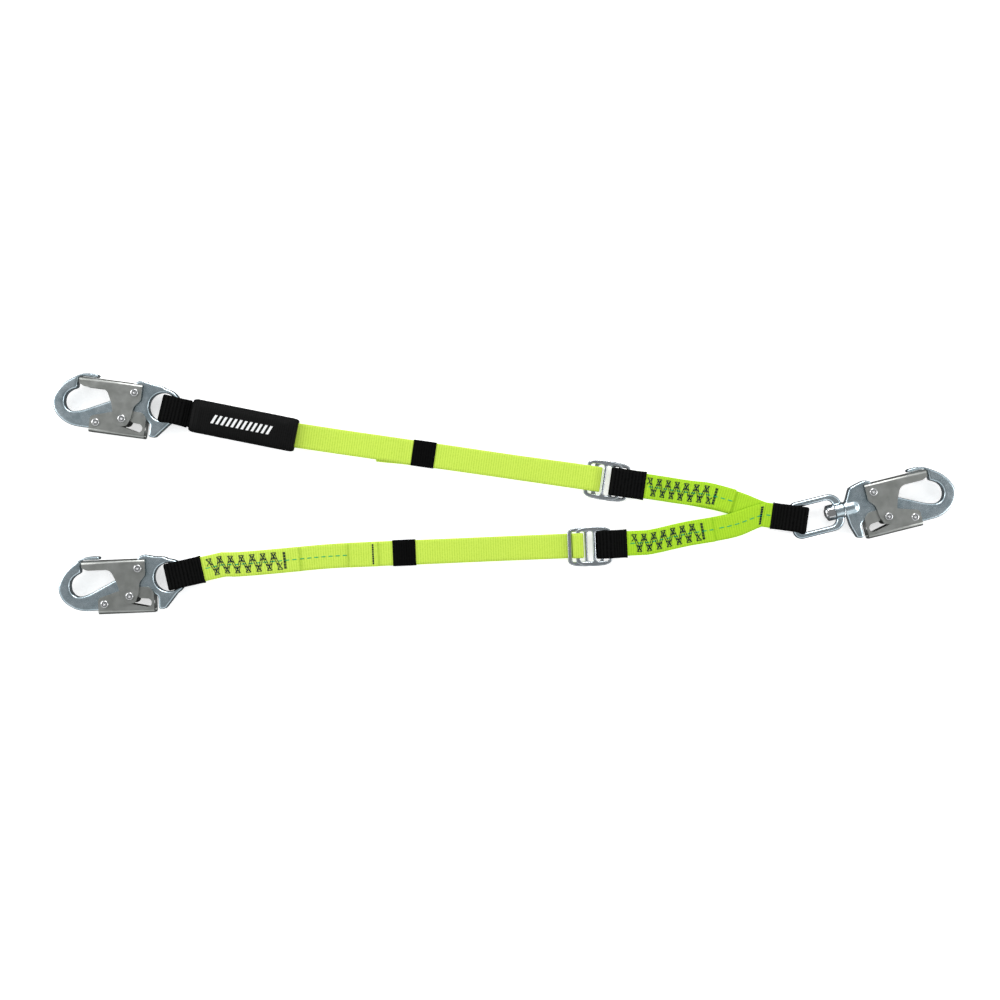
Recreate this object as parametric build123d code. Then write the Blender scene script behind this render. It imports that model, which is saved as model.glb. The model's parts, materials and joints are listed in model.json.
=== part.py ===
from build123d import *
import math
import os

# Shock absorbing lanyard: two adjustable webbing legs with snap hooks, joined at a swivel
# snap hook. Millimetres. It lies on the plane z = 0, with +X from the leg hooks to the
# swivel hook, and the origin under the middle of its box.

# Webbing
WEB_T = 2.2
WEB_W = 25.0
SLEEVE_T = 0.8
SLEEVE_GAP = 0.05
FLOOR_GAP = 1.0
PLY1_Z = FLOOR_GAP + WEB_T / 2
PLY2_Z = PLY1_Z + WEB_T + 0.1
STUB_Z = FLOOR_GAP + WEB_T
SPLIT = 0.3
YOKE_SPLIT = 0.5

# Snap hook, in its own frame: x to the nose of the bow, y to the gate, z through the plate
HOOK_Z = 11.1
BODY_HALF = 5.4
BODY_ROUND = 0.5
EYE_ROUND = 1.5
LEVER_IN = 5.7
LEVER_OUT = 7.3
GATE_IN = 7.6
GATE_OUT = 9.3
GATE_PIVOT = (-26.3, 14.9)
CATCH = (-17.0, -12.9)
LOCK_PIVOT = (9.3, -20.1)
EYE = (-55.6, 4.6)
EYE_R = 14.4
EYE_RING_R = 18.8
SHANK_R = 2.7
RUNNING = 0.05
HEAD_R = 4.0
HEAD_T = 1.7

# Swivel, along the axis through EYE in the hook's frame
BOSS_R = 7.6
STUD_R = 5.0
WALL_X = (-67.2, -59.0)
NUT_X = (-75.7, -67.5)
NUT_FLATS = 14.6
LINK_BAR_X = -110.4
LINK_W = 38.4
LINK_RAIL = 6.0
LINK_T = 7.0

# Adjuster, x along the leg from the left edge of the upper frame
FRAME_T = 3.2
FRAME_L = 36.8
FRAME_HALF_W = 20.4
SLOT_HALF_W = 15.4
SLOTS = ((4.6, 17.5), (20.6, 33.5))
FRAME_STEP = 8.2
FRAME_A_Z = 7.3
FRAME_B_Z = 11.1
ADJUSTER_H = 17.8
SLEEVE_END = 53.0
LEG_END = 3.6

# Pack
PACK_L = 108.7
PACK_W = 35.0
PACK_H = 19.0
PACK_WALL = 1.2

# Where things lie, before the whole is centred: x, y and heading in degrees
CENTRE = (4.1, 6.6)
UPPER_HOOK = (-399.2, 97.7, 172.3)
LOWER_HOOK = (-393.5, -85.5, 182.4)
SWIVEL_EYE = (353.1, -9.1, 14.0)
UPPER_LOOP = (-343.6, 94.0, -13.5)
LOWER_LOOP = (-338.0, -78.5, 12.9)
PACK_AT = (-315.1, 87.0, -11.3)
UPPER_ADJUSTER = (95.3, 21.9, -8.3)
LOWER_ADJUSTER = (77.3, -46.8, 2.4)
LOWER_FRAME_SHIFT = -1.3
LINK_LOOP = (314.7, -21.1, 171.9)
JUNCTION = (271.0, -15.0)

parts = {}


def direction(heading):
    return math.cos(math.radians(heading)), math.sin(math.radians(heading))


def along(place, distance, side=0.0):
    """The point that far along a place's heading, and that far to its left."""
    c, s = direction(place[2])
    return place[0] + distance * c - side * s, place[1] + distance * s + side * c


def located(place, z=0.0, flipped=False):
    """The frame of a place; a flipped one has its y and z turned over."""
    c, s = direction(place[2])
    centre = (place[0] - CENTRE[0], place[1] - CENTRE[1], z)
    return Plane(origin=centre, x_dir=(c, s, 0), z_dir=(0, 0, -1 if flipped else 1)).location


def outline(corners):
    """A closed face from corners of x, y and rounding radius."""
    points = [(x, y) for x, y, r in corners]
    return make_face(FilletPolyline(*points, radius=[r for x, y, r in corners], close=True))


def plate(face, low, high):
    return Pos(0, 0, low) * extrude(face, amount=high - low)


def disc(centre, radius, low, high):
    return Pos(centre[0], centre[1], (low + high) / 2) * Cylinder(radius, high - low)


def band(path, width):
    """A face of even width along corners of x, y and radius, the two ends without one."""
    points = [Vector(p[0], p[1]) for p in path]
    steps = [(b - a).normalized() for a, b in zip(points, points[1:])]
    sides = []
    for half in (width / 2, -width / 2):
        left = [Vector(-step.Y, step.X) * half for step in steps]
        corners, radii = [points[0] + left[0]], []
        for i, corner in enumerate(points[1:-1]):
            bend = left[i] + left[i + 1]
            corners.append(corner + bend * (2 * half * half / bend.length ** 2))
            turn = 1 if steps[i].cross(steps[i + 1]).Z > 0 else -1
            radii.append(path[i + 1][2] - turn * half)
        corners.append(points[-1] + left[-1])
        sides.append(FilletPolyline(*corners, radius=radii) if radii else Polyline(*corners))
    ends = [Line(sides[0] @ t, sides[1] @ t) for t in (0, 1)]
    return make_face(sides[0].edges() + sides[1].edges() + [e.edge() for e in ends])


def strip(path, width=WEB_W, thickness=WEB_T):
    """Webbing seen from its side: path is corners of x, z and radius, the ends without one."""
    return extrude(Plane.XZ * band(path, thickness), amount=width / 2, both=True)


def ribbon(path, low, high, width=WEB_W):
    """Webbing lying flat, along corners of x, y and radius, between two heights."""
    return Pos(-CENTRE[0], -CENTRE[1], low) * extrude(band(path, width), amount=high - low)


def folded(path, width=WEB_W, thickness=WEB_T):
    """Webbing that comes back to itself: two strips, joined half-way along the path."""
    half = len(path) // 2
    before, after = path[half - 1], path[half]
    turn = ((before[0] + after[0]) / 2, (before[1] + after[1]) / 2)
    return strip(path[:half] + [turn], width, thickness) + strip([turn] + path[half:], width, thickness)


def sleeve_over(path, width, webbing=WEB_W):
    """A tube of cloth round the folded webbing of a path."""
    cloth = folded(path, width, WEB_T + 2 * SLEEVE_T)
    return cloth - folded(path, webbing + 2 * SLEEVE_GAP, WEB_T + 2 * SLEEVE_GAP)


# Snap hook


def smooth_bend(points):
    """The inner points, each with the largest rounding radius that its sides have room for."""
    corners = []
    for (x0, y0), (x, y), (x1, y1) in zip(points, points[1:], points[2:]):
        before, after = Vector(x - x0, y - y0), Vector(x1 - x, y1 - y)
        half_turn = math.radians(before.get_angle(after)) / 2
        room = 0.49 * min(before.length, after.length)
        corners.append((x, y, room / math.tan(half_turn)))
    return corners


def body_outline(left_end):
    """The forged body's outline, with the given corners at its left end."""
    nose = [(13.4, 28.8), (29.5, 29.0), (49.8, 15.0), (58.2, -2.0), (53.0, -16.2), (37.5, -26.6),
            (4.0, -26.6)]
    seat = [(-4.0, 5.0), (26.5, -10.2), (38.0, -12.6), (44.8, -6.4), (45.0, 3.2), (40.5, 9.2),
            (33.4, 12.6)]
    bow_outside = [(13.4, 25.2, 1.7), (13.4, 28.8, 1.7)] + smooth_bend(nose)
    under_spine = [(4.0, -26.6, 4), (-8.0, -8.8, 5), (-37.0, -8.8, 6), (-44.8, -14.5, 3)]
    over_pivot = [(-41.0, 26.7, 12), (-31.0, 28.8, 4), (-25.6, 26.4, 1.8), (-23.8, 21.5, 2),
                  (-19.5, 15.5, 3)]
    bow_inside = [(-4.0, 5.0, 12)] + smooth_bend(seat) + [(33.4, 12.6, 2.0), (33.4, 25.2, 1.8)]
    return outline(bow_outside + under_spine + left_end + over_pivot + bow_inside)


def forging(left_end):
    """The body as a plate with its long edges rounded, bored for its two rivets."""
    body = plate(body_outline(left_end), -BODY_HALF, BODY_HALF)
    rim = [e for e in body.edges() if abs(abs(e.center().Z) - BODY_HALF) < 0.01]
    body = fillet(rim, BODY_ROUND)
    for centre in (GATE_PIVOT, LOCK_PIVOT):
        body -= disc(centre, SHANK_R, -BODY_HALF - 1, BODY_HALF + 1)
    return body


def eye_body():
    """The body of a leg hook, which ends in a round eye for the webbing."""
    guard = [(-44.8, -27.6, 2.0), (-51.5, -27.6, 3), (-66.0, -10.0, 4), (-66.0, 12.0, 4),
             (-54.0, 25.4, 8)]
    ring = disc(EYE, EYE_RING_R, -BODY_HALF, BODY_HALF)
    ring = fillet(ring.edges().filter_by(GeomType.CIRCLE), EYE_ROUND)
    return forging(guard) + ring - disc(EYE, EYE_R, -BODY_HALF - 1, BODY_HALF + 1)


def swivel_body():
    """The body of the swivel hook, which ends in a round boss bored for the stud."""
    back = [(-44.8, -28.0, 2.0), (-51.5, -27.6, 4), (-56.0, -13.0, 20), (-57.0, 8.0, 8),
            (-48.0, 24.6, 3)]
    barrel = Pos(-50.6, EYE[1], 0) * Rot(0, 90, 0) * Cylinder(BOSS_R, 15.4)
    barrel = fillet(barrel.edges().sort_by(Axis.X)[-1], 5.0)
    bore = Pos(-55.0, EYE[1], 0) * Rot(0, 90, 0) * Cylinder(STUD_R, 18.0)
    return forging(back) + barrel - bore


def channel(high_y, low_y, x_range, outside, inside, web):
    """A folded sheet channel along x: its web at high_y, its flanks down to low_y."""
    turn = 1 if high_y > low_y else -1
    outer_y, inner_y, end_y = high_y, high_y - turn * web, low_y - turn
    shell = outline([(-outside, end_y, 0.3), (-outside, outer_y, 3.6), (outside, outer_y, 3.6),
                     (outside, end_y, 0.3)])
    hollow = outline([(-inside, end_y - turn, 0.3), (-inside, inner_y, 1.9),
                      (inside, inner_y, 1.9), (inside, end_y - turn, 0.3)])
    section = Plane(origin=(x_range[0], 0, 0), x_dir=(0, 0, 1), z_dir=(1, 0, 0))
    flat = Rot(0, 0, 180) * (shell - hollow)
    return extrude(section * flat, amount=x_range[1] - x_range[0])


def gate():
    """The gate: a folded channel whose flanks carry a lobe for the catch rivet."""
    flank = outline([(-33.5, 26.0, 1), (30.9, 26.0, 1), (30.9, 17.6, 1.5), (25.5, 14.6, 8),
                     (2.0, 14.6, 8), (-4.6, 1.0, 12), (-9.0, -15.5, 5), (-12.8, -20.4, 4),
                     (-22.5, -20.4, 5), (-26.0, -11.0, 8), (-27.4, 0.5, 8), (-33.5, 8.0, 5)])
    sheet = channel(24.6, -20.4, (-33.5, 30.9), GATE_OUT, GATE_IN, 1.7)
    sheet &= plate(flank, -GATE_OUT, GATE_OUT)
    sheet -= Pos(-29.0, 26.0, 0) * Box(14.0, 12.0, 2 * GATE_IN)
    for centre in (GATE_PIVOT, CATCH):
        sheet -= disc(centre, SHANK_R + RUNNING, -GATE_OUT - 1, GATE_OUT + 1)
    return sheet


def lock_lever():
    """The lock lever: a channel inside the gate, with a wedge window for the catch rivet."""
    flank = outline([(15.8, -14.0, 5), (15.8, -32.0, 1), (-41.0, -32.0, 1), (-41.0, -9.0, 6),
                     (-36.0, -4.0, 6), (-26.0, -4.0, 12), (-6.0, -7.2, 20), (8.0, -11.6, 8)])
    sheet = channel(-30.4, -4.0, (-41.0, 15.8), LEVER_OUT, LEVER_IN, 1.6)
    sheet &= plate(flank, -LEVER_OUT, LEVER_OUT)
    wide = [((-34.4, -20.3), 4.2), ((-27.0, -18.7), 3.3), ((-18.5, -20.0), 1.0)]
    neck = [((-27.0, -18.7), 3.3), (CATCH, SHANK_R + 0.4)]
    for circles in (wide, neck):
        edges = [e for c, r in circles for e in (Pos(*c) * Circle(r)).edges()]
        window = make_hull(edges)
        sheet -= plate(window, -LEVER_OUT - 1, LEVER_OUT + 1)
    return sheet - disc(LOCK_PIVOT, SHANK_R + RUNNING, -LEVER_OUT - 1, LEVER_OUT + 1)


def rivet(centre, half):
    """A rivet with two dimpled, rounded heads just outside the sheet at half."""
    made = disc(centre, SHANK_R, -half - 0.1, half + 0.1)
    head = fillet(Cylinder(HEAD_R, HEAD_T).edges().sort_by(Axis.Z)[-1], 1.2)
    head -= Pos(0, 0, HEAD_T / 2) * Sphere(1.3)
    for turn in (0, 180):
        made += Pos(centre[0], centre[1], 0) * Rot(turn, 0, 0) * Pos(0, 0, half + HEAD_T / 2) * head
    return made


def gate_spring():
    """One coil round the gate rivet, beside the body, with a leg under the gate's web."""
    wire = Circle(5.4) - Circle(3.8)
    wire += Pos(9.0, 4.6) * Rectangle(18.0, 1.6) - Circle(3.8)
    wire += Pos(-4.6, -5.0) * Rectangle(1.6, 10.0) - Circle(3.8)
    return Pos(*GATE_PIVOT) * plate(wire, BODY_HALF + 0.3, BODY_HALF + 1.8)


def lock_spring():
    """A leaf from the body's underside to the lever's web."""
    leaf = trace(FilletPolyline((13.5, -27.1), (2.0, -27.1), (-26.0, -28.3), radius=8), 0.5)
    return plate(leaf, -4.0, 4.0)


def hook(name, place, body, flipped):
    """One snap hook's own pieces, put at its place."""
    made = {
        "hook_body": body,
        "gate": gate(),
        "lock_lever": lock_lever(),
        "gate_pivot_rivet": rivet(GATE_PIVOT, GATE_OUT),
        "gate_catch_rivet": rivet(CATCH, GATE_OUT),
        "lock_pivot_rivet": rivet(LOCK_PIVOT, LEVER_OUT),
        "gate_spring": gate_spring(),
        "lock_spring": lock_spring(),
    }
    for piece, shape in made.items():
        parts[f"{name}_{piece}"] = located(place, HOOK_Z, flipped) * shape


# Swivel


def swivel():
    """The link, the stud that carries the hook, and the nut and washer on it."""
    place = (*along(SWIVEL_EYE, -EYE[0], -EYE[1]), SWIVEL_EYE[2])
    hook("swivel", place, swivel_body(), False)
    at = located(SWIVEL_EYE, HOOK_Z)
    turned = Rot(0, 90, 0)

    def on_axis(x_range, radius):
        x = (x_range[0] + x_range[1]) / 2 - EYE[0]
        return Pos(x, 0, 0) * turned * Cylinder(radius, x_range[1] - x_range[0])

    bar = LINK_BAR_X - EYE[0]
    left, right = bar - LINK_RAIL / 2, WALL_X[1] - EYE[0]
    half, inner = LINK_W / 2, LINK_W / 2 - LINK_RAIL
    wall = WALL_X[0] - EYE[0]
    outer = outline([(left, -half, 9), (right, -half, 13), (right, half, 13), (left, half, 9)])
    gap = outline([(left + LINK_RAIL, -inner, 4), (wall, -inner, 7), (wall, inner, 7),
                   (left + LINK_RAIL, inner, 4)])
    ring = plate(outer - gap, -LINK_T / 2, LINK_T / 2)
    rim = [e for e in ring.edges() if abs(abs(e.center().Z) - LINK_T / 2) < 0.01]
    link = fillet(rim, 2.2) + on_axis(WALL_X, 8.5)
    link -= on_axis((WALL_X[0] - 1, WALL_X[1] + 1), STUD_R + RUNNING)
    parts["swivel_link"] = at * link
    nut = Pos(NUT_X[0] - EYE[0], 0, 0) * Plane.YZ.location * extrude(
        RegularPolygon(NUT_FLATS / 2, 6, major_radius=False), amount=NUT_X[1] - NUT_X[0])
    chamfered = Pos((NUT_X[0] + NUT_X[1]) / 2 - EYE[0], 0, 0) * turned * fillet(
        Cylinder(8.1, NUT_X[1] - NUT_X[0]).edges(), 1.4)
    parts["swivel_nut"] = at * ((nut & chamfered) - on_axis(NUT_X, STUD_R))
    stud = on_axis((NUT_X[0] - 1.8, -46.5), STUD_R)
    parts["swivel_stud"] = at * fillet(stud.edges().sort_by(Axis.X)[0], 1.6)
    parts["swivel_washer"] = at * (on_axis((-58.9, -58.35), 8.0) - on_axis((-60, -58), STUD_R))
    return at * link_envelope(bar, wall, inner)


def link_envelope(bar, wall, inner):
    """The room that the link's two rails take, with clearance, for the loop to keep out of."""
    length = wall - bar
    made = []
    for side in (1, -1):
        at_y = side * (inner + LINK_RAIL / 2)
        made.append(Pos(bar + length / 2, at_y, 0) * Box(length, LINK_RAIL + 0.6, LINK_T + 0.4))
    return made[0] + made[1]


# Webbing loops in the eyes and the link


def hook_loop(place, name, end, width=27.0):
    """The webbing round a hook's eye and the sleeve on it; end is where its plies meet."""
    top, low = HOOK_Z + 7.6, HOOK_Z - 7.6
    path = [(end[0], end[1] + WEB_T / 2)] + end[2] + [(20.0, top, 6), (-1.1, top, 5)]
    path += [(-1.1, low, 5), (20.5, low, 6)] + end[3] + [(end[0], end[1] - WEB_T / 2)]
    parts[f"{name}_hook_loop"] = located(place) * folded(path)
    parts[f"{name}_hook_sleeve"] = located(place) * sleeve_over(path, width)


# Adjusters


def adjuster_frame():
    """A flat three-bar frame with two slots, 0 at its left edge, mid-height at z = 0."""
    half, length = FRAME_HALF_W, FRAME_L
    left = [(0, -half + 3.6, 5), (7, -half + 0.8, 14), (length / 2, -half, 60)]
    right = [(length - 7, -half + 0.8, 14), (length, -half + 3.6, 5)]
    lower = left + right
    face = outline(lower + [(x, -y, r) for x, y, r in reversed(lower)])
    for x0, x1 in SLOTS:
        slot = RectangleRounded(x1 - x0, 2 * SLOT_HALF_W, 2.0)
        face -= Pos((x0 + x1) / 2, 0) * slot
    body = plate(face, -FRAME_T / 2, FRAME_T / 2)
    rim = [e for e in body.edges() if abs(abs(e.center().Z) - FRAME_T / 2) < 0.01]
    return fillet(rim, 1.0)


def turned_z(z, flipped):
    return ADJUSTER_H - z if flipped else z


def adjuster(name, place, flipped, shift):
    """Two frames and the webbing loop that ties them to the yoke."""
    centred = (*along(place, 0, shift), place[2])
    for frame, x, z in (("rear", -FRAME_STEP, FRAME_A_Z), ("front", 0.0, FRAME_B_Z)):
        at = located(centred, turned_z(z, flipped))
        parts[f"{name}_adjuster_{frame}_frame"] = at * Pos(x, 0, 0) * adjuster_frame()
    path = [(SLEEVE_END, 5.2), (47.5, 5.7, 3), (37.3, 15.0, 4), (33.0, 15.0, 4), (23.1, 10.3, 3),
            (23.1, 3.5, 3), (40.0, 3.4, 20), (SLEEVE_END, 3.0)]
    path = [(p[0], turned_z(p[1], flipped), *p[2:]) for p in path]
    parts[f"{name}_adjuster_loop"] = located(place) * folded(path)
    parts[f"{name}_adjuster_sleeve"] = located(place) * sleeve_over(path, 28.0)


def leg_in_adjuster(flipped):
    """The leg's webbing from under the rear frame round the front frame's left bar."""
    path = [(0.3, PLY1_Z, 3), (7.2, 7.0, 1.5), (7.2, 14.0, 2.85), (LEG_END, 14.0)]
    return [(p[0], turned_z(p[1], flipped), *p[2:]) for p in path]


def tail_in_adjuster(flipped):
    """The tail's webbing from the front frame's left bar down under the rear frame."""
    path = [(LEG_END - SPLIT, 14.0), (-1.9, 14.0, 1.9), (-1.9, PLY2_Z, 1.6)]
    return [(p[0], turned_z(p[1], flipped), *p[2:]) for p in path]


def keeper(name, place, x, low, high):
    """An elastic band round a leg and its tail."""
    length, wall, gap = 23.6, 0.9, 0.15
    outer = Box(length, WEB_W + 2 * (gap + wall), high - low + 2 * (gap + wall) - 0.2)
    inner = Box(length + 2, WEB_W + 2 * gap, high - low + 2 * gap)
    ring = fillet(outer.edges().filter_by(Axis.X), 0.8) - inner
    parts[f"{name}_keeper"] = located(place) * Pos(x, 0, (low + high) / 2) * ring


# Legs


def upper_leg():
    """Hook loop, shock pack, main webbing, tail and keeper of the upper leg."""
    end = (27.6, HOOK_Z - 0.3, [], [])
    hook_loop(UPPER_LOOP, "upper", end)
    pack()
    reach = 302.5
    low, high = PLY1_Z, PLY2_Z
    over_stop = high + WEB_T
    path = [(-reach - 10, 8.0), (-reach + 5, 8.0, 30), (-reach + 32, low, 60), (-234, low, 10),
            (-225, over_stop, 10), (-196, over_stop, 20), (-188, high, 20), (-95, high, 60),
            (-22, turned_z(PLY1_Z, True), 60)]
    parts["upper_leg_webbing"] = located(UPPER_ADJUSTER) * strip(path + leg_in_adjuster(True))
    tail = tail_in_adjuster(True) + [(-22, turned_z(PLY2_Z, True), 60), (-95, low, 60), (-221, low)]
    stop = strip([(-220.9, low + WEB_T), (-199.5, low + WEB_T)])
    parts["upper_tail_webbing"] = located(UPPER_ADJUSTER) * (strip(tail) + stop)
    keeper("upper", UPPER_ADJUSTER, -175.5, FLOOR_GAP, high + WEB_T / 2)


def lower_leg():
    """Hook loop, main webbing, tail and keeper of the lower leg."""
    end = (34.0, 6.9, [(29.5, 9.3, 4)], [(29.5, 6.9, 4)])
    hook_loop(LOWER_LOOP, "lower", end)
    knee = (*along(LOWER_LOOP, 56.0), LOWER_LOOP[2])
    fold = (-212.0, -61.2)
    ramp = strip([(34.8, 6.9), (38.4, 6.7, 10), (50.0, STUB_Z, 10), (56.0, STUB_Z)],
                 thickness=2 * WEB_T)
    straight = along(LOWER_ADJUSTER, -232.0)
    low, high = FLOOR_GAP, FLOOR_GAP + WEB_T
    sewn = ribbon([knee, (-270.0, -66.6, 60), fold], low, high + WEB_T)
    meets = along(LOWER_ADJUSTER, -200.0)
    single = ribbon([fold, (-184.0, -58.4, 60), (*straight, 60), meets], low, high)
    tail_run = strip([(-200.5, PLY1_Z)] + leg_in_adjuster(False))
    web = located(LOWER_LOOP) * ramp + sewn + single + located(LOWER_ADJUSTER) * tail_run
    parts["lower_leg_webbing"] = web
    tail = tail_in_adjuster(False) + [(-229.8, PLY2_Z)]
    stop = strip([(-229.7, PLY2_Z + WEB_T), (-203.0, PLY2_Z + WEB_T)])
    parts["lower_tail_webbing"] = located(LOWER_ADJUSTER) * (strip(tail) + stop)
    keeper("lower", LOWER_ADJUSTER, -175.7, FLOOR_GAP, PLY2_Z + WEB_T / 2)


def pack():
    """The shock pack: a closed cover over a folded tear strap."""
    at = located(PACK_AT)
    middle = PACK_H / 2 + 0.4
    cover = Pos(PACK_L / 2, 0, middle) * Box(PACK_L, PACK_W, PACK_H)
    cover = fillet(cover.edges().filter_by(Axis.X), 5.0)
    cover = fillet(cover.edges(), 1.0)
    room = Box(PACK_L - 2 * PACK_WALL, PACK_W - 5.0, PACK_H - 2 * PACK_WALL)
    room = Pos(PACK_L / 2, 0, middle) * room
    cover -= fillet(room.edges().filter_by(Axis.X), 3.5)
    cover -= Pos(0, 0, HOOK_Z - 0.3) * Box(6.0, 28.0, 2 * (WEB_T + SLEEVE_T) + 0.8)
    cover -= Pos(PACK_L, 0, 8.0) * Box(6.0, WEB_W + 1.0, WEB_T + 1.2)
    parts["shock_pack_cover"] = at * cover
    layers, pitch, left, right = 5, 2.8, 12.0, PACK_L - 20.0
    path = [(1.5, HOOK_Z - 0.3)]
    top = middle + pitch * (layers - 1) / 2
    path.append((left - 6.0, top, 4))
    for k in range(layers):
        z = top - k * pitch
        ends = (left, right) if k % 2 == 0 else (right, left)
        if k:
            path.append((ends[0], z, 1.35))
        if k < layers - 1:
            path.append((ends[1], z, 1.35))
    path.append((right - 20.0, middle - pitch * (layers - 1) / 2))
    parts["shock_pack_tear_webbing"] = at * strip(path)


# Yoke


def yoke():
    """The sewn strap that joins both adjusters to the link."""
    upper_end = (*along(UPPER_ADJUSTER, SLEEVE_END), UPPER_ADJUSTER[2])
    lower_end = (*along(LOWER_ADJUSTER, SLEEVE_END), LOWER_ADJUSTER[2])
    top = turned_z(4.1, True)
    ramp = strip([(YOKE_SPLIT, top), (5.0, top - 0.5, 10), (37.0, STUB_Z, 20), (44.0, STUB_Z)],
                 thickness=2 * WEB_T)
    short = strip([(YOKE_SPLIT, 4.1), (4.0, 3.9, 10), (14.0, STUB_Z, 10), (20.0, STUB_Z)],
                  thickness=2 * WEB_T)
    low, mid, high = FLOOR_GAP, FLOOR_GAP + WEB_T, FLOOR_GAP + 2 * WEB_T
    cut, meets = (239.5, -1.6), along(LINK_LOOP, 36.6)
    upper_bend, lower_bend = (*along(upper_end, 50.0), 60), (*along(lower_end, 24.0), 60)
    upper_sewn = ribbon([along(upper_end, 43.0), upper_bend, cut], low, high)
    upper_single = ribbon([upper_bend[:2], (*cut, 30), (*JUNCTION, 20), meets], low, mid)
    lower_sewn = ribbon([along(lower_end, 19.0), lower_bend, (219.0, -30.3)], low, high)
    lower_single = ribbon([lower_bend[:2], (226.0, -29.5, 30), (*JUNCTION, 20), meets],
                          mid, high)
    web = located(upper_end) * ramp + upper_sewn + upper_single
    web += located(lower_end) * short + lower_sewn + lower_single
    parts["yoke_webbing"] = web


def link_loop(rails):
    """The yoke's webbing round the link's bar, and its sleeve, clear of the link's rails."""
    plies = LINK_T / 2 + 2.2
    top, low = HOOK_Z + plies, HOOK_Z - plies
    path = [(35.7, 4.4), (31.0, 6.3, 5), (20.5, top, 6), (1.9, top, 4.5), (1.9, low, 4.5),
            (20.5, low, 12), (31.0, 3.4, 10), (35.7, 2.2)]
    parts["link_loop"] = located(LINK_LOOP) * folded(path, 24.4) - rails
    parts["link_sleeve"] = located(LINK_LOOP) * sleeve_over(path, 25.8, 24.4) - rails


hook("upper", UPPER_HOOK, eye_body(), True)
hook("lower", LOWER_HOOK, eye_body(), True)
rails = swivel()
adjuster("upper", UPPER_ADJUSTER, True, 0.0)
adjuster("lower", LOWER_ADJUSTER, False, LOWER_FRAME_SHIFT)
upper_leg()
lower_leg()
yoke()
link_loop(rails)

os.makedirs("parts", exist_ok=True)
box = Compound(children=[s for p in parts.values() for s in p.solids()]).bounding_box()
print("box", box.min, box.max)
for node, shape in parts.items():
    if len(shape.solids()) != 1:
        print("solids", node, len(shape.solids()))
    export_step(shape, f"parts/{node}.step")
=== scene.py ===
"""Shock absorbing lanyard: the looks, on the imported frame. Lengths in mm unless a name says _M."""
import json
import math

import bpy
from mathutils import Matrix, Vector


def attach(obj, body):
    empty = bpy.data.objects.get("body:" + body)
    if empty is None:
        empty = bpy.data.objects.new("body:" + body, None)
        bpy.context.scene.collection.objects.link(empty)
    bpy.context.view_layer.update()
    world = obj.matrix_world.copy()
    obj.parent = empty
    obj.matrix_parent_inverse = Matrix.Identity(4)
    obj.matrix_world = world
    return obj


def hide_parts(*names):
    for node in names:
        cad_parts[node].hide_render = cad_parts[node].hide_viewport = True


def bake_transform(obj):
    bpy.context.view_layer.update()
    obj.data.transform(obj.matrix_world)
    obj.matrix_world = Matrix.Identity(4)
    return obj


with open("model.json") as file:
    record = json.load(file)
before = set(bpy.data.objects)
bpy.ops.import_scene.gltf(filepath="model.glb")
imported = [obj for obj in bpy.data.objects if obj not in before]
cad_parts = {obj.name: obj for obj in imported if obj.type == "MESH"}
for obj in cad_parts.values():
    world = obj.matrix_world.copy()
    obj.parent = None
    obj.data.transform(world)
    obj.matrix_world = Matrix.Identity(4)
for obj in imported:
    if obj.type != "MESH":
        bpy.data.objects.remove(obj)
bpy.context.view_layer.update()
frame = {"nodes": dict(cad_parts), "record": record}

MM = 0.001

# Webbing
WEB_T = 2.2
WEB_W = 25.0
SLEEVE_T = 3.8
PLY1_Z = 2.1
PLY2_Z = 4.4
RIB_PITCH = 1.25
THREAD_R = 0.36
TRACER_R = 0.7

# Places: x, y and heading in degrees, as the frame has them
CENTRE = (4.1, 6.6)
HOOK_Z = 11.1
ADJUSTER_H = 17.8
SLEEVE_END = 53.0


def placed(x, y, heading):
    """A place, measured on the laid-out lanyard, in the frame's own centre."""
    return (x - CENTRE[0], y - CENTRE[1], heading)


UPPER_LOOP = placed(-343.6, 94.0, -13.5)
LOWER_LOOP = placed(-338.0, -78.5, 12.9)
PACK_AT = placed(-315.1, 87.0, -11.3)
UPPER_ADJUSTER = placed(95.3, 21.9, -8.3)
LOWER_ADJUSTER = placed(77.3, -46.8, 2.4)
LINK_LOOP = placed(314.7, -21.1, 171.9)
PACK_L = 108.7
PACK_W = 35.0
PACK_H = 19.0
PACK_Z = 9.9


# Materials


def new_material(name, colour, roughness, metallic=0.0):
    """A principled material, its node tree and its shader."""
    mat = bpy.data.materials.new(name)
    mat.use_nodes = True
    shader = mat.node_tree.nodes["Principled BSDF"]
    shader.inputs["Base Color"].default_value = (*colour, 1)
    shader.inputs["Roughness"].default_value = roughness
    shader.inputs["Metallic"].default_value = metallic
    return mat, mat.node_tree, shader


def node(tree, kind, **inputs):
    made = tree.nodes.new(kind)
    for name, value in inputs.items():
        made.inputs[name.replace("_", " ")].default_value = value
    return made


def noise(tree, scale, detail=3.0, stretch=(1, 1, 1)):
    """Noise in object space, in features per metre."""
    where = node(tree, "ShaderNodeTexCoord")
    mapping = node(tree, "ShaderNodeMapping")
    mapping.inputs["Scale"].default_value = stretch
    made = node(tree, "ShaderNodeTexNoise", Scale=scale, Detail=detail)
    tree.links.new(where.outputs["Object"], mapping.inputs["Vector"])
    tree.links.new(mapping.outputs["Vector"], made.inputs["Vector"])
    return made.outputs["Fac"]


def ramp(tree, value, low, high, start=0.35, end=0.65):
    made = node(tree, "ShaderNodeValToRGB")
    made.color_ramp.elements[0].position = start
    made.color_ramp.elements[1].position = end
    made.color_ramp.elements[0].color = (*low, 1)
    made.color_ramp.elements[1].color = (*high, 1)
    tree.links.new(value, made.inputs["Fac"])
    return made.outputs["Color"]


def spread(tree, value, low, high):
    made = node(tree, "ShaderNodeMapRange")
    made.inputs["To Min"].default_value = low
    made.inputs["To Max"].default_value = high
    tree.links.new(value, made.inputs["Value"])
    return made.outputs["Result"]


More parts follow.
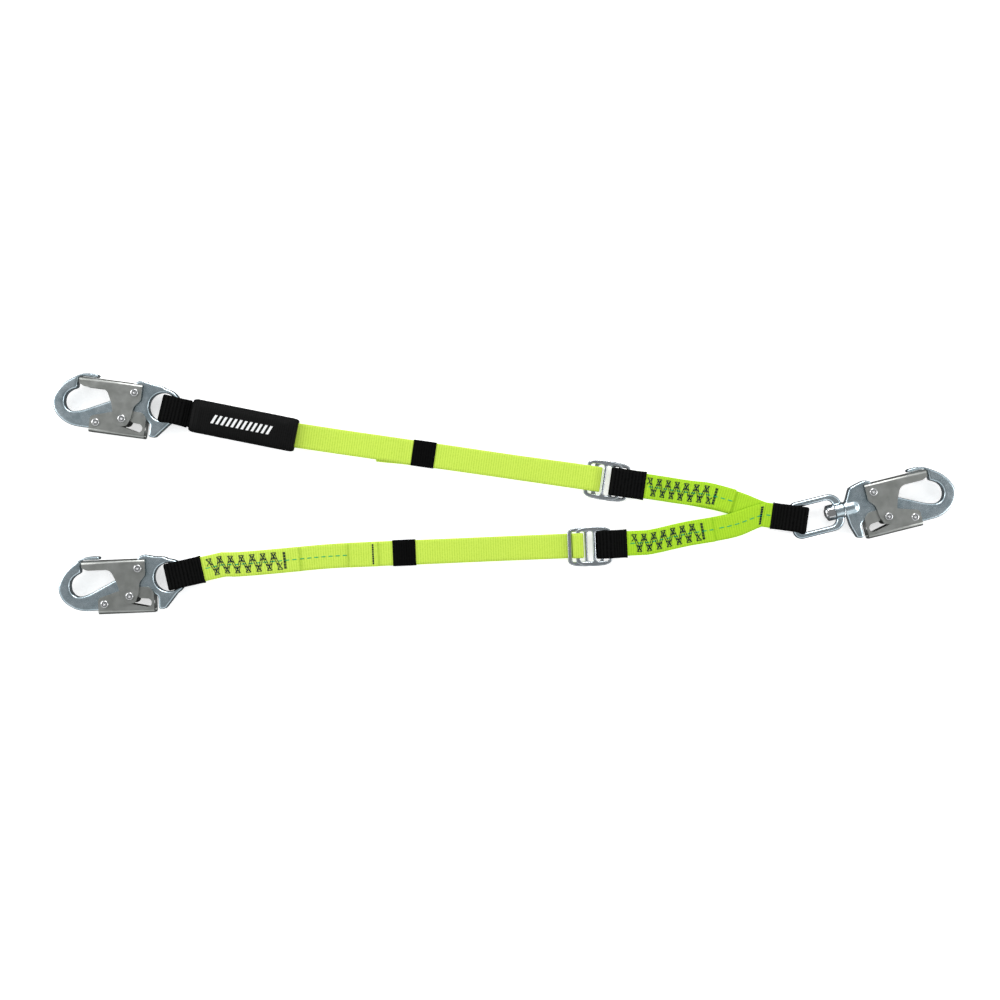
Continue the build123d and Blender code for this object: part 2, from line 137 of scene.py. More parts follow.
def bump(tree, shader, value, strength, distance_m):
    made = node(tree, "ShaderNodeBump", Strength=strength, Distance=distance_m)
    tree.links.new(value, made.inputs["Height"])
    tree.links.new(made.outputs["Normal"], shader.inputs["Normal"])


def bands(tree, direction, pitch_m, distortion=0.0):
    """Even bands on a strap's own map, which runs along it in x and across it in y."""
    where = node(tree, "ShaderNodeTexCoord")
    made = node(tree, "ShaderNodeTexWave", Scale=0.314 / pitch_m, Distortion=distortion)
    made.bands_direction = direction
    tree.links.new(where.outputs["UV"], made.inputs["Vector"])
    return made.outputs["Fac"]


def fabric(name, dark, light, roughness, sheen, yarn_pitch_m=0.0007, rib_pitch_m=0.0025, shine=0.12):
    """Woven cloth: painted shade between its ribs, uneven dye, fine yarns and a soft sheen."""
    mat, tree, shader = new_material(name, light, roughness)
    # Painted shade: the rib bands darken the colour between the ribs, and noise adds uneven dye.
    rib_shade_and_dye = node(tree, "ShaderNodeMath")
    rib_shade_and_dye.operation = "MULTIPLY_ADD"
    tree.links.new(bands(tree, "X", rib_pitch_m, 0.4), rib_shade_and_dye.inputs[0])
    rib_shade_and_dye.inputs[1].default_value = 0.45
    tree.links.new(noise(tree, 700), rib_shade_and_dye.inputs[2])
    tree.links.new(ramp(tree, rib_shade_and_dye.outputs[0], dark, light, 0.4, 0.9), shader.inputs["Base Color"])
    shader.inputs["Sheen Weight"].default_value = sheen
    shader.inputs["Sheen Roughness"].default_value = 0.4
    shader.inputs["Specular IOR Level"].default_value = shine
    bump(tree, shader, bands(tree, "Y", yarn_pitch_m, 1.2), 0.5, 0.00015)
    return mat


def plated(name, dark, light, rough, grain, grain_m=0.00003):
    """Zinc plate: blotches of tone, uneven gloss and a fine grain."""
    mat, tree, shader = new_material(name, light, rough[0], 1.0)
    tree.links.new(ramp(tree, noise(tree, 90, 5), dark, light), shader.inputs["Base Color"])
    tree.links.new(spread(tree, noise(tree, 260, 4), *rough), shader.inputs["Roughness"])
    bump(tree, shader, noise(tree, grain, 5), 0.35, grain_m)
    return mat


# Each cloth runs from its first tone, the painted shade between its ribs and its darker dye, to its second,
# the rib tops and lighter dye.
NEON = fabric("neon_webbing", (0.46, 0.67, 0.06), (0.60, 0.79, 0.10), 0.8, 0.06)
DEEP_NEON = fabric("neon_stub_webbing", (0.31, 0.58, 0.018), (0.42, 0.70, 0.03), 0.8, 0.03)
BLACK_RIB = fabric("black_sleeve", (0.001, 0.001, 0.001), (0.006, 0.006, 0.006), 0.65, 0.0, 0.0009,
                   0.0034, 0.02)
ELASTIC = fabric("black_elastic", (0.001, 0.001, 0.001), (0.004, 0.004, 0.004), 0.7, 0.0, shine=0.02)
COVER = fabric("pack_cover", (0.003, 0.003, 0.003), (0.007, 0.007, 0.007), 0.5, 0.0, 0.0011, 0.0022,
               0.06)
THREAD = fabric("navy_thread", (0.003, 0.010, 0.032), (0.006, 0.020, 0.06), 0.55, 0.0, shine=0.05)
TRACER = fabric("green_tracer", (0.008, 0.38, 0.12), (0.02, 0.55, 0.2), 0.6, 0.0)
PRINT = fabric("white_print", (0.78, 0.78, 0.78), (0.88, 0.88, 0.88), 0.6, 0.0)
FORGED = plated("zinc_forging", (0.52, 0.63, 0.69), (0.70, 0.80, 0.86), (0.2, 0.32), 1400, 0.000012)
SHEET = plated("zinc_sheet", (0.38, 0.39, 0.37), (0.49, 0.50, 0.48), (0.3, 0.42), 2600)
FRAME_STEEL = plated("zinc_frame", (0.62, 0.67, 0.71), (0.78, 0.82, 0.86), (0.2, 0.3), 1800)
BRIGHT = plated("bright_hardware", (0.70, 0.70, 0.71), (0.86, 0.86, 0.87), (0.12, 0.22), 2000)
SPRING = plated("spring_steel", (0.32, 0.32, 0.33), (0.45, 0.45, 0.46), (0.3, 0.4), 2000)

SLOT_MATERIALS = {"forging": FORGED, "sheet": SHEET, "frame": FRAME_STEEL, "hardware": BRIGHT,
                  "spring": SPRING, "webbing": NEON, "tear_webbing": NEON, "sleeve": BLACK_RIB,
                  "elastic": ELASTIC, "cover": COVER}


def dress_nodes():
    """Gives each CAD piece its material, and the pressed pieces a softened edge."""
    for part in frame["record"]["subparts"]:
        obj = frame["nodes"][part["node"]]
        obj.data.materials.clear()
        obj.data.materials.append(SLOT_MATERIALS[part["material_slot"]])
        if part["material_slot"] in ("sheet", "hardware"):
            weld = obj.modifiers.new("weld", "WELD")
            weld.merge_threshold = 0.001 * MM
            edge = obj.modifiers.new("edge", "BEVEL")
            edge.width = 0.85 * MM
            edge.segments = 3
            edge.limit_method = "ANGLE"
            edge.angle_limit = math.radians(50)
            edge.harden_normals = True


def forged_skin(name):
    """The forging's own form with its corners rounded off, as drop forging leaves them."""
    source = frame["nodes"][name]
    skin = bpy.data.objects.new(f"{name}_skin", source.data.copy())
    bpy.context.scene.collection.objects.link(skin)
    remesh = skin.modifiers.new("remesh", "REMESH")
    remesh.mode = "VOXEL"
    remesh.voxel_size = 0.7 * MM
    relax = skin.modifiers.new("relax", "SMOOTH")
    relax.factor = 0.5
    relax.iterations = 26
    skin.data = applied(skin)
    skin.modifiers.clear()
    skin.data.materials.clear()
    finish_piece(skin, FORGED)
    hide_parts(name)
    return skin


def applied(obj):
    """A new mesh with the object's modifiers applied."""
    graph = bpy.context.evaluated_depsgraph_get()
    return bpy.data.meshes.new_from_object(obj.evaluated_get(graph), depsgraph=graph)


def finish_piece(obj, mat):
    """Gives a new piece its material and smooth shading."""
    obj.data.materials.append(mat)
    for face in obj.data.polygons:
        face.use_smooth = True


def mesh_piece(name, points, faces, mat, uvs=None):
    """A shaded mesh object from points in mm; uvs gives each point's place on the cloth."""
    data = bpy.data.meshes.new(name)
    data.from_pydata([Vector(p) * MM for p in points], [], faces)
    if uvs:
        layer = data.uv_layers.new(name="cloth")
        for loop in data.loops:
            layer.data[loop.index].uv = uvs[loop.vertex_index]
    obj = bpy.data.objects.new(name, data)
    bpy.context.scene.collection.objects.link(obj)
    finish_piece(obj, mat)
    return obj


# Straps


def at(place, distance, z, side=0.0):
    """A route point: where it is, and which way is across the strap there."""
    c, s = math.cos(math.radians(place[2])), math.sin(math.radians(place[2]))
    x, y = place[0] + distance * c - side * s, place[1] + distance * s + side * c
    return Vector((x, y, z)), Vector((-s, c, 0))


def smooth_route(route, step):
    """Even samples of a quadratic spline through a route's points, ends held."""
    dense = []
    for i in range(1, len(route) - 1):
        a, b, c = route[i - 1], route[i], route[i + 1]
        start = a if i == 1 else tuple((p + q) / 2 for p, q in zip(a, b))
        end = c if i == len(route) - 2 else tuple((p + q) / 2 for p, q in zip(b, c))
        for k in range(40):
            t = k / 40
            dense.append(tuple((1 - t) ** 2 * p + 2 * t * (1 - t) * q + t * t * r
                               for p, q, r in zip(start, b, end)))
    dense.append(route[-1])
    length = sum((q[0] - p[0]).length for p, q in zip(dense, dense[1:]))
    count = max(2, round(length / step))
    samples, i, gone = [], 0, 0.0
    for k in range(count + 1):
        target = length * k / count
        while i < len(dense) - 2 and gone + (dense[i + 1][0] - dense[i][0]).length < target:
            gone += (dense[i + 1][0] - dense[i][0]).length
            i += 1
        run = (dense[i + 1][0] - dense[i][0]).length
        t = 0.0 if run == 0 else min(1.0, (target - gone) / run)
        samples.append(tuple(p.lerp(q, t) for p, q in zip(dense[i], dense[i + 1])))
    return samples, length


class Strap:
    """A woven strap along a route, with cross ribs and rounded selvedges."""

    def __init__(self, name, route, mat, slot, width=WEB_W, thickness=WEB_T - 0.2, rib=0.13,
                 pitch=RIB_PITCH, flare=0.012):
        samples, self.length = smooth_route(route, pitch / 2)
        self.step = self.length / (len(samples) - 1)
        self.centre = [p for p, across in samples]
        self.across = [across.normalized() for p, across in samples]
        self.half = width / 2
        self.thick = thickness / 2 + rib
        self.up = []
        for i, across in enumerate(self.across):
            ahead = self.centre[min(i + 1, len(samples) - 1)] - self.centre[max(i - 1, 0)]
            self.up.append(ahead.cross(across).normalized())
        self.obj = self.build(name, mat, width, thickness, rib, flare)

    def build(self, name, mat, width, thickness, rib, flare):
        profile = strap_profile(width, thickness)
        points, uvs, faces = [], [], []
        n = len(profile)
        for i, (p, across, up) in enumerate(zip(self.centre, self.across, self.up)):
            high = i % 2
            from_end = min(i, len(self.centre) - 1 - i) * self.step
            flared = 1 + flare * math.exp(-from_end / 3.0) + 0.004 * math.sin(i * 0.031)
            for y, z, ribbed in profile:
                y *= flared
                z += math.copysign(rib * high * ribbed, z)
                y += math.copysign(0.25 * high * (1 - ribbed), y)
                points.append(p + across * y + up * z)
                uvs.append((i * self.step * MM, (y + width / 2) * MM))
        for i in range(len(self.centre) - 1):
            for k in range(n):
                a, b = i * n + k, i * n + (k + 1) % n
                faces.append((a, b, b + n, a + n))
        faces.append(tuple(reversed(range(n))))
        faces.append(tuple(len(points) - n + k for k in range(n)))
        return mesh_piece(name, points, faces, mat, uvs)

    def on(self, along, across, lift=0.0):
        """The point on the strap's upper face, so far along and across."""
        i = min(max(along / self.step, 0), len(self.centre) - 1.001)
        k, t = int(i), i - int(i)
        p = self.centre[k].lerp(self.centre[k + 1], t)
        return p + self.across[k] * across + self.up[k] * (self.thick + lift)


def strap_profile(width, thickness):
    """Corners of a strap's section: across, up, and how far the ribs reach there."""
    half, edge = width / 2, thickness / 2
    flats = [half - edge * 0.7 - (2 * half - edge * 1.4) * k / 10 for k in range(11)]
    top = [(y, edge, 1.0) for y in flats]
    low = [(-y, -edge, 1.0) for y in flats]
    left = [(-half, edge * 0.45, 0.0), (-half, -edge * 0.45, 0.0)]
    right = [(half, -edge * 0.45, 0.0), (half, edge * 0.45, 0.0)]
    return top + left + low + right


# Threads


def threads(name, runs, radius, mat, bow=1.1, sunk=0.5):
    """Stitches: short round threads, sunk by a part of their radius and bowed off the cloth."""
    points, faces = [], []
    sides, spans = 6, 4
    for a, b, up in runs:
        ahead = (b - a).normalized()
        side = ahead.cross(up).normalized()
        first = len(points)
        for i in range(spans + 1):
            t = i / spans
            rise = math.sin(math.pi * t)
            centre = a.lerp(b, t) + up * radius * (bow * rise - sunk)
            for k in range(sides):
                turn = 2 * math.pi * k / sides
                points.append(centre + (side * math.cos(turn) + up * math.sin(turn)) * radius)
        for i in range(spans):
            for k in range(sides):
                p, q = first + i * sides + k, first + i * sides + (k + 1) % sides
                faces.append((p, q, q + sides, p + sides))
        faces.append(tuple(first + k for k in reversed(range(sides))))
        faces.append(tuple(first + spans * sides + k for k in range(sides)))
    return mesh_piece(name, points, faces, mat)


def stitch_line(strap, corners, pitch, gap=0.25):
    """Runs of thread along corners given as along and across, a stitch every pitch."""
    runs = []
    for (s0, v0), (s1, v1) in zip(corners, corners[1:]):
        count = max(1, round(math.hypot(s1 - s0, v1 - v0) / pitch))
        for i in range(count):
            t0, t1 = (i + gap / 2) / count, (i + 1 - gap / 2) / count
            a = strap.on(s0 + (s1 - s0) * t0, v0 + (v1 - v0) * t0)
            b = strap.on(s0 + (s1 - s0) * t1, v0 + (v1 - v0) * t1)
            k = min(int((s0 + s1) / 2 / strap.step), len(strap.up) - 1)
            runs.append((a, b, strap.up[k]))
    return runs


def sewn_block(name, strap, start, end, half, repeats):
    """The load stitching: a zig-zag sewn twice, an hourglass at each turn, a bar across its end."""
    pitch = (end - start) / repeats
    runs = []
    for shift in (0.0, 0.2):
        corners = [(start + pitch * (i / 2 + shift), half * 0.9 * (-1) ** i) for i in range(2 * repeats)]
        runs += stitch_line(strap, corners, 3.4, 0.06)
    for i in range(2 * repeats):
        side = (-1) ** i
        middle = start + pitch * (i / 2 + 0.1)
        cross = [(middle - 2.7, side * half * 0.2), (middle + 2.7, side * half),
                 (middle - 2.7, side * half), (middle + 2.7, side * half * 0.2)]
        runs += stitch_line(strap, cross, 3.4, 0.06)
    for k in range(3):
        bar = [(end + 0.9 * k, -half), (end + 0.9 * k, half)]
        runs += stitch_line(strap, bar, 3.0, 0.1)
    return threads(name, runs, THREAD_R, THREAD)


def bar_tack(name, strap, along, half, body, rows=3):
    """Close rows of stitches straight across a strap."""
    runs = []
    for k in range(rows):
        runs += stitch_line(strap, [(along + 0.8 * k, -half), (along + 0.8 * k, half)], 2.4, 0.15)
    obj = threads(name, runs, 0.4, THREAD)
    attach(obj, body)


def tracer(name, strap, start, end):
    """The dashed marker yarn that is woven in along the middle of the strap."""
    runs = stitch_line(strap, [(start, 0.0), (end, 0.0)], 7.5, 0.4)
    return threads(name, runs, TRACER_R, TRACER, 0.1, 0.65)


# Eye loops and sleeves


def turned(z, flipped):
    """A height in an adjuster that lies the other way up."""
    return ADJUSTER_H - z if flipped else z


def sleeve(name, place, path, width, body, *nodes):
    """A ribbed wear sleeve round a folded loop."""
    route = [at(place, x, z) for x, z in path]
    made = Strap(name, route, BLACK_RIB, "sleeve", width, SLEEVE_T - 0.5, 0.22, 1.7, 0.04)
    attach(made.obj, body)
    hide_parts(*nodes)
    return made


def hook_sleeves():
    top, low = HOOK_Z + 7.6, HOOK_Z - 7.6
    round_eye = [(20.0, top), (6.0, top), (-1.1, top - 0.5), (-1.1, low + 0.5), (6.0, low)]
    middle = HOOK_Z - 0.3
    upper = [(26.0, middle + 0.9), (23.0, middle + 2.6)] + round_eye
    upper += [(20.5, low), (23.0, middle - 2.6), (26.0, middle - 0.9)]
    sleeve("upper_eye_sleeve", UPPER_LOOP, upper, 27.2, "upper_hook", "upper_hook_loop",
           "upper_hook_sleeve")
    lower = [(34.0, 8.0), (29.5, 9.6)] + round_eye + [(20.5, low), (29.5, 5.6), (34.0, 5.8)]
    sleeve("lower_eye_sleeve", LOWER_LOOP, lower, 27.2, "lower_hook", "lower_hook_loop",
           "lower_hook_sleeve")


FOLDS = {"upper": 18.9, "lower": 22.6}


def adjuster_sleeves():
    for name, place, flipped in (("upper", UPPER_ADJUSTER, True), ("lower", LOWER_ADJUSTER, False)):
        fold = FOLDS[name]
        path = [(SLEEVE_END, 5.2), (47.5, 5.7), (37.3, 14.6), (33.0, 15.0), (24.8, 11.4),
                (23.3, 9.4), (fold, 7.4), (fold, 4.2), (fold + 3.0, 3.3), (40.0, 3.2), (SLEEVE_END, 3.0)]
        path = [(x, turned(z, flipped)) for x, z in path]
        sleeve(f"{name}_strap_sleeve", place, path, 28.2, f"{name}_adjuster",
               f"{name}_adjuster_loop", f"{name}_adjuster_sleeve")


def link_sleeve():
    top, low = HOOK_Z + 5.7, HOOK_Z - 5.7
    path = [(36.0, 4.4), (31.0, 6.3), (20.5, top - 0.4), (8.0, top), (2.4, top - 1.0), (2.4, low + 1.0),
            (8.0, low), (20.5, low), (31.0, 3.4), (36.0, 2.4)]
    sleeve("link_strap_sleeve", LINK_LOOP, path, 26.4, "swivel_link", "link_loop", "link_sleeve")


# Legs


def leg_wrap(flipped):
    """Under the rear frame, up through the frames and over the front frame's left bar."""
    path = [(0.3, PLY1_Z), (5.6, 5.8), (7.2, 8.4), (7.2, 12.2), (6.2, 14.0), (3.0, 14.2),
            (0.6, 14.2)]
    return [(x, turned(z, flipped)) for x, z in path]


def tail_wrap(flipped):
    path = [(1.0, 14.2), (-0.8, 14.0), (-1.9, 12.6), (-1.9, 6.4), (-2.6, 4.8), (-5.5, PLY2_Z)]
    return [(x, turned(z, flipped)) for x, z in path]


def lower_leg():
    """The plain leg: main strap, its sewn end over it, and the tail with its folded stop."""
    place = LOWER_ADJUSTER
    sewn_far, sewn_near = placed(-212.0, -61.2, 6), placed(-270.0, -66.6, 7)
    knee = at(LOWER_LOOP, 56.0, PLY1_Z)
    route = [knee, at(sewn_near, 0, PLY1_Z), at(sewn_far, 0, PLY1_Z),
             at(placed(-184, -58.4, 4), 0, PLY1_Z)]
    route += [at(place, d, PLY1_Z) for d in (-232, -180, -120, -60, -12)]
    route += [at(place, x, z) for x, z in leg_wrap(False)]
    main = Strap("lower_main_strap", route, NEON, "webbing")
    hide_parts("lower_leg_webbing")
    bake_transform(main.obj)

    end_route = [at(LOWER_LOOP, 28.0, 8.0), at(LOWER_LOOP, 38.0, 7.8), at(LOWER_LOOP, 48.0, 5.0),
                 at(LOWER_LOOP, 56.0, PLY2_Z - 0.1), at(sewn_near, 0, PLY2_Z - 0.1),
                 at(sewn_far, 6.0, PLY2_Z - 0.1)]
    end = Strap("lower_sewn_end", end_route, NEON, "webbing")
    under = [at(LOWER_LOOP, 28.0, 5.8), at(LOWER_LOOP, 38.0, 5.6), at(LOWER_LOOP, 48.0, 2.6),
             at(LOWER_LOOP, 56.0, PLY1_Z)]
    throat = Strap("lower_throat", under, NEON, "webbing")
    sewing = sewn_block("lower_sewing", end, 13.0, 90.0, 8.8, 7)
    yarn = tracer("lower_end_tracer", end, 8.0, 112.0)
    for obj in (end.obj, throat.obj, sewing, yarn):
        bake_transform(obj)
    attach(tracer("lower_leg_tracer", main, 62.0, 150.0), "lower_leg")

    route = [at(place, x, z) for x, z in tail_wrap(False)]
    route += [at(place, d, PLY2_Z) for d in (-30, -80, -140, -200, -229.5)]
    tail = Strap("lower_tail_strap", route, NEON, "webbing")
    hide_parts("lower_tail_webbing")
    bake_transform(tail.obj)
    route = [at(place, -231, PLY2_Z + 0.4), at(place, -231.5, PLY2_Z + 1.9),
             at(place, -226, PLY2_Z + WEB_T), at(place, -215, PLY2_Z + WEB_T),
             at(place, -203, PLY2_Z + WEB_T)]
    stop = Strap("lower_tail_stop", route, NEON, "webbing")
    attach(stop.obj, "lower_tail")
    bar_tack("lower_stop_tack", stop, stop.length - 5.0, 10.5, "lower_tail", 2)
    keeper("lower_keeper_band", LOWER_ADJUSTER, -175.7, 1.0, 5.5, "lower")


def upper_leg():
    """The shock leg's main strap over its own tail, which is folded at its end."""
    place = UPPER_ADJUSTER
    over = PLY2_Z + WEB_T
    route = [at(place, -312, 8.0), at(place, -300, 8.0), at(place, -284, 4.6), at(place, -268, PLY1_Z),
             at(place, -240, PLY1_Z), at(place, -230, 3.6), at(place, -222, over), at(place, -204, over),
             at(place, -192, PLY2_Z), at(place, -150, PLY2_Z), at(place, -100, PLY2_Z),
             at(place, -78, PLY2_Z + 0.4), at(place, -55, 10.4), at(place, -22, turned(PLY1_Z, True))]
    route += [at(place, -9, turned(PLY1_Z, True))] + [at(place, x, z) for x, z in leg_wrap(True)]
    main = Strap("upper_main_strap", route, NEON, "webbing")
    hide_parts("upper_leg_webbing")
    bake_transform(main.obj)

    route = [at(place, x, z) for x, z in tail_wrap(True)]
    route += [at(place, -22, turned(PLY2_Z + 0.3, True)), at(place, -55, 7.6),
              at(place, -78, PLY1_Z + 0.2), at(place, -100, PLY1_Z), at(place, -150, PLY1_Z),
              at(place, -200, PLY1_Z, -0.8), at(place, -221, PLY1_Z, -2.0)]
    tail = Strap("upper_tail_strap", route, NEON, "webbing")
    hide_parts("upper_tail_webbing")
    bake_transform(tail.obj)
    route = [at(place, -222, PLY1_Z + 0.4, -2.0), at(place, -222.5, PLY1_Z + 1.8, -2.0),
             at(place, -218, PLY1_Z + WEB_T, -2.0), at(place, -208, PLY1_Z + WEB_T, -1.6),
             at(place, -199.5, PLY1_Z + WEB_T, -0.8)]
    stop = Strap("upper_tail_stop", route, NEON, "webbing")
    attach(stop.obj, "upper_tail")
    keeper("upper_keeper_band", UPPER_ADJUSTER, -175.5, 1.0, 5.5, "upper")


def keeper(name, place, x, low, high, leg):
    """A ribbed elastic band round a leg and its tail."""
    outer_y, outer_z, corner = WEB_W / 2 + 0.9, (high - low) / 2 + 0.75, 1.6
    middle = (low + high) / 2
    section = []
    for sy, sz, first in ((1, 1, 0), (-1, 1, 90), (-1, -1, 180), (1, -1, 270)):
        for k in range(5):
            turn = math.radians(first + 90 * k / 4)
            c, s = math.cos(turn), math.sin(turn)
            section.append((sy * (outer_y - corner) + corner * c, sz * (outer_z - corner) + corner * s, c, s))
    length, n = 23.6, len(section)
    count = round(length / 0.55)
    rows = [(-length / 2 + length * i / count, 0.16 * (i % 2)) for i in range(count + 1)]
    rows = [(rows[0][0], -0.8)] + rows + [(rows[-1][0], -0.8)]
    points, faces, uvs = [], [], []
    for d, swell in rows:
        for k, (y, z, ny, nz) in enumerate(section):
            p, across = at(place, x + d, middle + z + nz * swell)
            points.append(p + across * (y + ny * swell))
            uvs.append((d * MM, k * 3 * MM))
    for i in range(len(rows) - 1):
        for k in range(n):
            a, b = i * n + k, i * n + (k + 1) % n
            faces.append((a, b, b + n, a + n))
    band = mesh_piece(name, points, faces, ELASTIC, uvs)
    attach(band, f"{leg}_keeper")
    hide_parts(f"{leg}_keeper")


# Shock pack


def shock_pack():
    """The pack's cover: a crowned, padded sleeve pinched at its sewn ends."""
    rows, around = 72, 48
    points, faces, uvs = [], [], []
    for i in range(rows + 1):
        t = i / rows
        end = min(t, 1 - t) * PACK_L
        crown = 1 - 0.30 * math.exp(-end / 4.0)
        wrinkle = 0.22 * math.sin(t * 37) * math.sin(t * 11 + 1)
        seam = -0.7 * math.exp(-((end - 5.5) / 0.9) ** 2)
        corner = 1 - 0.08 * math.exp(-end / 1.6)
        for k in range(around):
            turn = 2 * math.pi * k / around
            c, s = math.cos(turn), math.sin(turn)
            y = math.copysign(abs(c) ** 0.5, c) * (PACK_W / 2 - 0.3 + 0.2 * wrinkle) * corner
            z = math.copysign(abs(s) ** 0.65, s) * (PACK_H / 2 - 0.5) * crown
            z += (seam + wrinkle) * s * abs(s)
            p, across = at(PACK_AT, t * PACK_L, PACK_Z + z)
            points.append(p + across * y)
            uvs.append((t * PACK_L * MM, k * 2.0 * MM))
    for i in range(rows):
        for k in range(around):
            a, b = i * around + k, i * around + (k + 1) % around
            faces.append((a, b, b + around, a + around))
    faces.append(tuple(reversed(range(around))))
    faces.append(tuple(len(points) - around + k for k in range(around)))
    cover = mesh_piece("shock_pack_skin", points, faces, COVER, uvs)
    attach(cover, "upper_leg")
    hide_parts("shock_pack_cover", "shock_pack_tear_webbing")
    mouth = [at(UPPER_LOOP, 16.0, HOOK_Z - 0.3), at(UPPER_LOOP, 24.0, HOOK_Z - 0.3),
             at(UPPER_LOOP, 32.0, HOOK_Z - 0.3), at(UPPER_LOOP, 42.0, HOOK_Z - 0.3)]
    throat = Strap("upper_throat", mouth, BLACK_RIB, "sleeve", 26.0, 4.0, 0.2, 1.7)
    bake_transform(throat.obj)
    pack_print()


def pack_print():
    """A plain printed row of slanted bars along the pack's top."""
    points, faces = [], []
    height, lean, bar, pitch, bars = 9.0, 3.4, 2.6, 5.2, 12
    top = PACK_Z + PACK_H / 2 - 0.5
    first = 22.0
    for k in range(bars):
        x = first + k * pitch
        corners = [(x, -height / 2), (x + bar, -height / 2), (x + bar + lean, height / 2),
                   (x + lean, height / 2)]
        start = len(points)
        for z in (top + 0.3, top - 0.8):
            for cx, cy in corners:
                p, across = at(PACK_AT, cx, z)
                points.append(p + across * cy)
        faces.append(tuple(start + i for i in range(4)))
        faces.append(tuple(start + 4 + i for i in reversed(range(4))))
        for i in range(4):
            j = (i + 1) % 4
            faces.append((start + j, start + i, start + i + 4, start + j + 4))
    label = mesh_piece("pack_print", points, faces, PRINT)
    for face in label.data.polygons:
        face.use_smooth = False
    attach(label, "upper_leg")


# Yoke


def yoke():
    """The two stubs from the adjusters, sewn on each other at the junction before the link."""
    upper_end = (*at(UPPER_ADJUSTER, SLEEVE_END, 0)[0][:2], UPPER_ADJUSTER[2])
    lower_end = (*at(LOWER_ADJUSTER, SLEEVE_END, 0)[0][:2], LOWER_ADJUSTER[2])
    cut, junction = placed(239.5, -1.6, -17), placed(271.0, -15.0, -12)
    far = (LINK_LOOP[0], LINK_LOOP[1], LINK_LOOP[2] - 180)
    low, high = PLY1_Z, PLY2_Z - 0.1
    top = turned(4.1, True)
    bend = at(upper_end, 50.0, low)
    route = [at(upper_end, -6.0, top - 1.1), at(upper_end, 4.0, top - 1.2), at(upper_end, 18, 8.6),
             at(upper_end, 34.0, low + 0.3), bend, at(cut, 0, low), at(junction, 0, low),
             at(far, -41.0, low), at(far, -36.8, low)]
    base = Strap("yoke_upper_strap", route, DEEP_NEON, "webbing")
    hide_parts("yoke_webbing")
    route = [at(upper_end, -6.0, top + 1.1), at(upper_end, 4.0, top + 1.0), at(upper_end, 18, 10.8),
             at(upper_end, 34.0, high + 0.3), at(upper_end, 50.0, high), at(cut, -25.0, high),
             at(cut, 0, high)]
    ply = Strap("yoke_upper_ply", route, DEEP_NEON, "webbing")
    sewing = sewn_block("upper_stub_sewing", ply, 9.0, 80.0, 8.8, 7)
    yarn = tracer("upper_stub_tracer", ply, 8.0, 101.0)
    for obj in (base.obj, ply.obj, sewing, yarn):
        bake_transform(obj)

    bend = at(lower_end, 24.0, low)
    route = [at(lower_end, -6.0, 3.0), at(lower_end, 4.0, 2.9), at(lower_end, 14, low), bend,
             at(placed(190, -34.9, 9.2), 0, low), at(placed(222, -29.7, 12), 0, low + 0.4),
             at(placed(243, -25.2, 12), 0, high), at(placed(262, -17.5, -2), 0, high),
             at(junction, 0, high)]
    lower = Strap("yoke_lower_strap", route, DEEP_NEON, "webbing")
    route = [at(lower_end, -6.0, 5.2), at(lower_end, 4.0, 5.1), at(lower_end, 14, high),
             at(lower_end, 24.0, high), at(placed(190, -34.9, 9.2), 0, high),
             at(placed(206, -32.4, 10), 0, high), at(placed(219.0, -30.3, 10), 0, high)]
    lower_ply = Strap("yoke_lower_ply", route, DEEP_NEON, "webbing")
    sewing = sewn_block("lower_stub_sewing", lower_ply, 12.5, 84.0, 8.8, 7)
    yarn = tracer("lower_ply_tracer", lower_ply, 8.0, 98.0)
    for obj in (lower.obj, lower_ply.obj, sewing, yarn):
        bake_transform(obj)
    route = [at(junction, 0, high), at(far, -42.0, high), at(far, -36.0, high + 0.1),
             at(far, -28.0, 5.6)]
    tie = Strap("yoke_link_strap", route, DEEP_NEON, "webbing")
    for obj in (tie.obj, tracer("junction_tracer", tie, 1.0, 8.0)):
        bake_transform(obj)
    bar_tack("junction_tack", lower, lower.length - 4.0, 9.5, "yoke", 3)
    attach(tracer("lower_stub_tracer", lower, 101.0, lower.length - 1.0), "yoke")


# Stage

SKY = ((0.0, 0.1), (0.25, 0.21), (0.42, 0.75), (0.62, 1.25), (0.8, 0.67), (0.9, 0.25), (1.0, 0.21))
LAMPS = (("back", (0.0, 1.7, 1.1), 1.2, 22.0), ("left", (-1.6, 0.4, 0.9), 0.9, 10.0),
         ("right", (1.6, -0.2, 0.9), 0.9, 8.5))


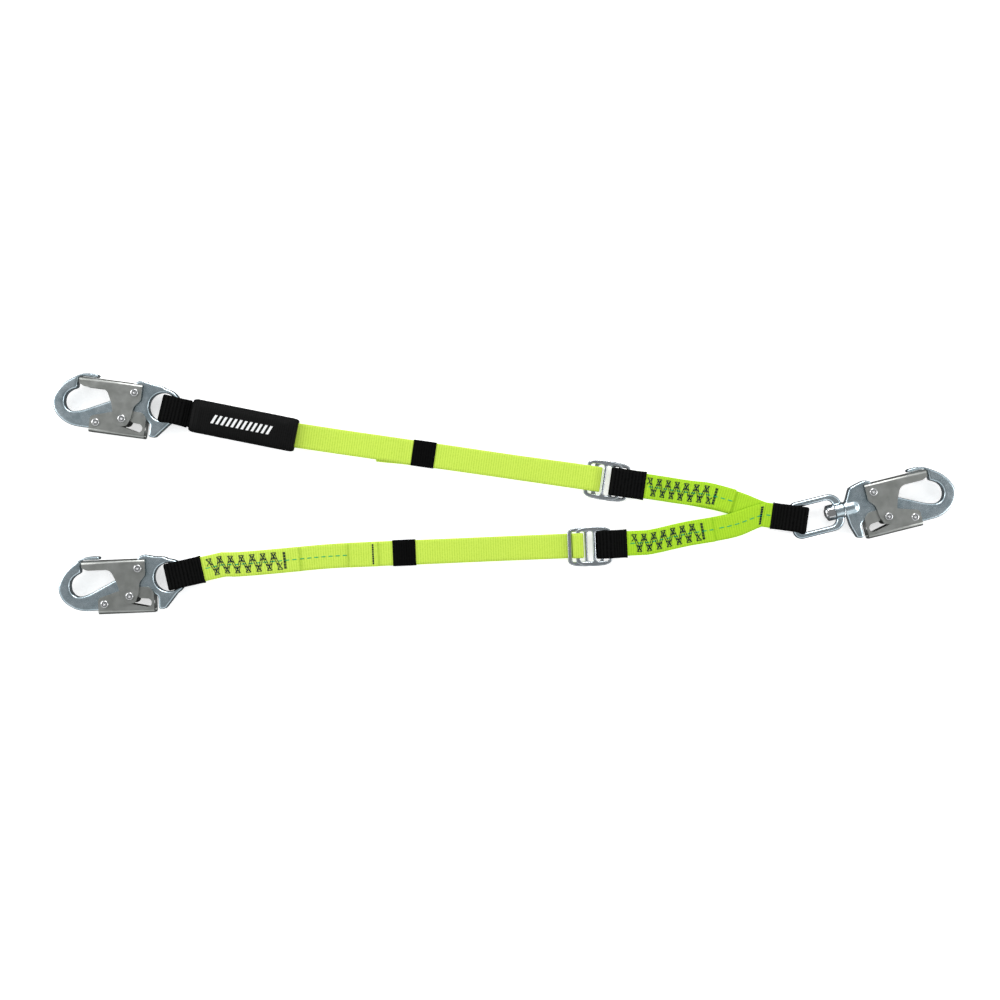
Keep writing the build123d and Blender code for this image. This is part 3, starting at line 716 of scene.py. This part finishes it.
def studio_world():
    """A dim zenith, a bright ring and a dark horizon: grey flats, and a bright and a dark edge."""
    world = bpy.data.worlds.new("studio")
    world.use_nodes = True
    tree = world.node_tree
    where = node(tree, "ShaderNodeTexCoord")
    split = node(tree, "ShaderNodeSeparateXYZ")
    sky = node(tree, "ShaderNodeValToRGB")
    tree.links.new(where.outputs["Generated"], split.inputs["Vector"])
    tree.links.new(split.outputs["Z"], sky.inputs["Fac"])
    tree.links.new(sky.outputs["Color"], tree.nodes["Background"].inputs["Color"])
    for position, tone in SKY[1:-1]:
        sky.color_ramp.elements.new(position)
    for element, (position, tone) in zip(sky.color_ramp.elements, SKY):
        element.position = position
        element.color = (tone * 0.96, tone * 0.99, tone, 1)
    bpy.context.scene.world = world


def lights():
    """Soft lights at the sides, outside what the camera sees mirrored in flat metal."""
    for name, where, size, power in LAMPS:
        data = bpy.data.lights.new(name, "AREA")
        data.energy = power
        data.size = size
        lamp = bpy.data.objects.new(name, data)
        lamp.location = where
        lamp.rotation_euler = (-Vector(where)).to_track_quat("-Z", "Y").to_euler()
        bpy.context.scene.collection.objects.link(lamp)


def floor():
    """White paper, left out of what metal mirrors so that its edges keep a dark outline."""
    size_m = 40.0
    data = bpy.data.meshes.new("floor")
    corners = [(-size_m, -size_m, 0), (size_m, -size_m, 0), (size_m, size_m, 0), (-size_m, size_m, 0)]
    data.from_pydata(corners, [], [(0, 1, 2, 3)])
    obj = bpy.data.objects.new("floor", data)
    obj.location.z = -0.0005
    obj.visible_glossy = False
    bpy.context.scene.collection.objects.link(obj)
    mat, _, shader = new_material("floor", (0.9, 0.9, 0.9), 0.9)
    shader.inputs["Emission Color"].default_value = (1, 1, 1, 1)
    shader.inputs["Emission Strength"].default_value = 0.6
    data.materials.append(mat)


def camera():
    """Straight above, as wide as the laid-out lanyard needs."""
    height_m, width_m = 1.4, 1.03
    data = bpy.data.cameras.new("camera")
    data.lens = data.sensor_width * height_m / width_m
    obj = bpy.data.objects.new("camera", data)
    obj.location = (-CENTRE[0] * MM, -CENTRE[1] * MM, height_m)
    bpy.context.scene.collection.objects.link(obj)
    bpy.context.scene.camera = obj
    bpy.context.scene.view_settings.view_transform = "Standard"


camera()
studio_world()
lights()
floor()
dress_nodes()
for hook in ("upper", "lower", "swivel"):
    skin = forged_skin(f"{hook}_hook_body")
    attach(skin, f"{hook}_hook")
hook_sleeves()
adjuster_sleeves()
link_sleeve()
lower_leg()
upper_leg()
shock_pack()
yoke()
